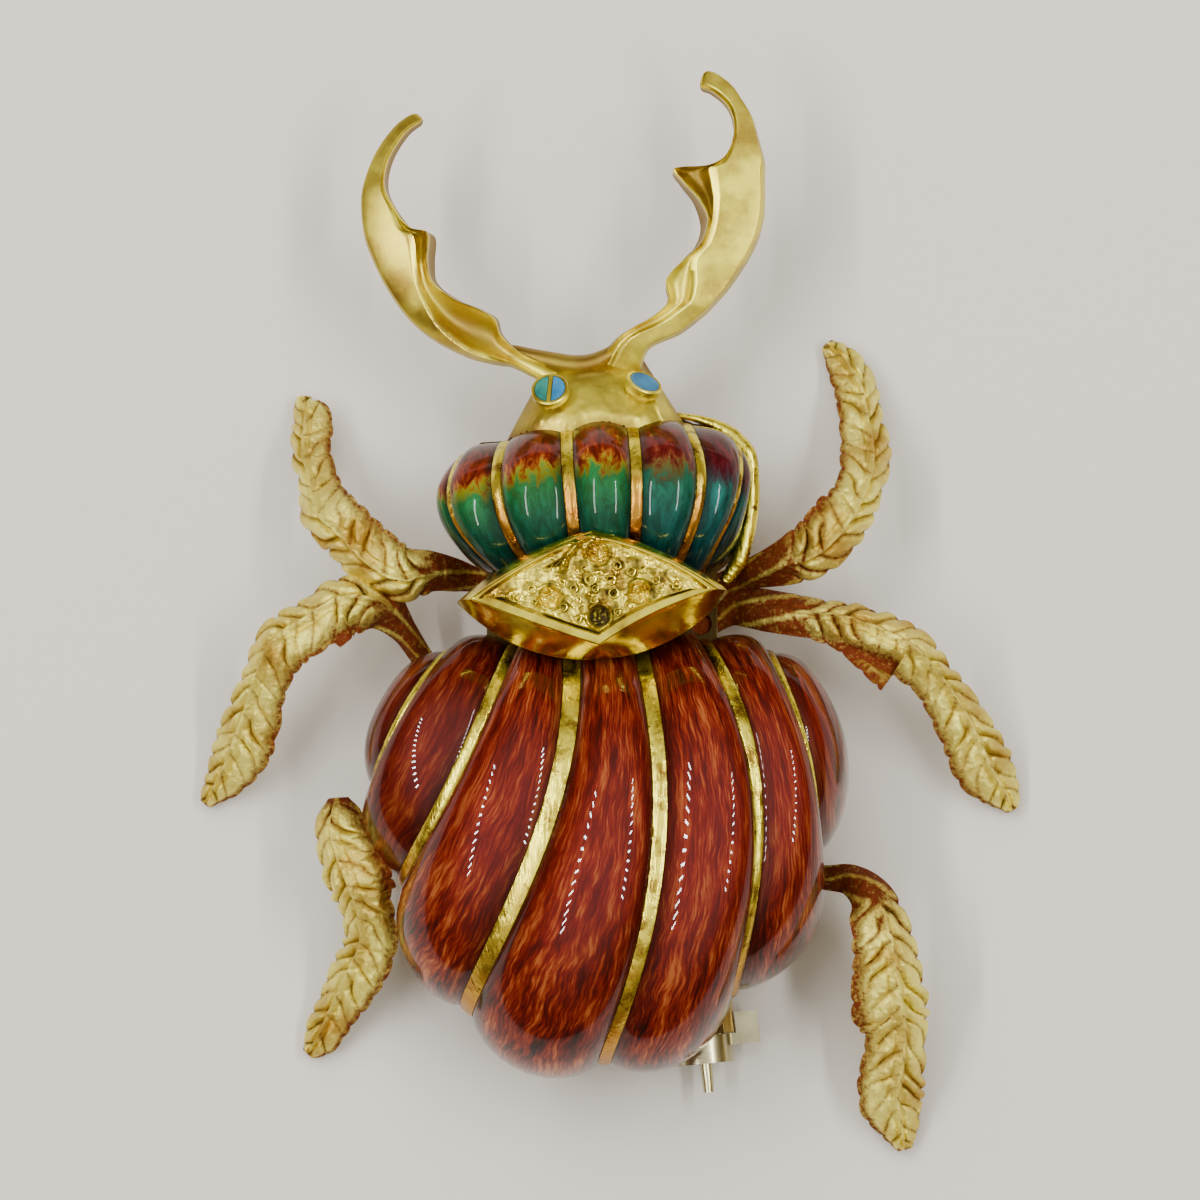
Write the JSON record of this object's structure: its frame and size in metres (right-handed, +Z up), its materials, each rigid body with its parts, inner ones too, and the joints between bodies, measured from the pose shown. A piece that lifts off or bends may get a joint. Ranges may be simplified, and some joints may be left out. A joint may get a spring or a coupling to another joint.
{
  "type": "beetle brooch",
  "caption": "Stag-beetle brooch: gold legs, head and curved mandibles, ribbed enamelled thorax and abdomen, stone eyes, hinged pin with a roller catch.",
  "frame": {"origin": "on the table under the middle of the insect, which lies on its feet with the enamel up", "axes": "+X to the insect's right as seen from above, +Y towards its mandibles, +Z up away from the table"},
  "size_m": [0.036, 0.047, 0.0107],
  "materials": {
    "gold": "polished",
    "cast_gold": "satin",
    "red_enamel": "glossy",
    "teal_enamel": "glossy",
    "green_stone": "polished",
    "blue_stone": "polished",
    "pale_metal": "polished"
  },
  "bodies": {
    "brooch": {"back_plate": "gold", "abdomen_shell": "gold", "abdomen_enamel_1": "red_enamel", "abdomen_enamel_2": "red_enamel", "abdomen_enamel_3": "red_enamel", "abdomen_enamel_4": "red_enamel", "abdomen_enamel_5": "red_enamel", "abdomen_enamel_6": "red_enamel", "abdomen_enamel_7": "red_enamel", "thorax_shell": "gold", "thorax_enamel_1": "teal_enamel", "thorax_enamel_2": "teal_enamel", "thorax_enamel_3": "teal_enamel", "thorax_enamel_4": "teal_enamel", "thorax_enamel_5": "teal_enamel", "thorax_enamel_6": "teal_enamel", "thorax_enamel_7": "teal_enamel", "scutellum": "gold", "head": "gold", "left_eye_green": "green_stone", "left_eye_blue": "blue_stone", "right_eye": "blue_stone", "left_legs": "cast_gold", "right_legs": "cast_gold", "hind_left_leg": "cast_gold", "hind_right_leg": "cast_gold", "hinge_rivet": "pale_metal"},
    "pin": {"pin_stem": "pale_metal"},
    "roller": {"catch_roller": "pale_metal"}
  },
  "joints": [
    {"name": "pin_hinge", "type": "hinge", "parent": "brooch", "child": "pin", "pos_m": [0.0024, 0.00055, 0.00155], "axis": [0.9951, 0.0993, 0], "range_deg": [0, 100]},
    {"name": "catch_turn", "type": "hinge", "parent": "brooch", "child": "roller", "pos_m": [0.0024, 0.00055, 0.00155], "axis": [-0.0993, 0.9951, 0], "range_deg": [0, 110]}
  ]
}
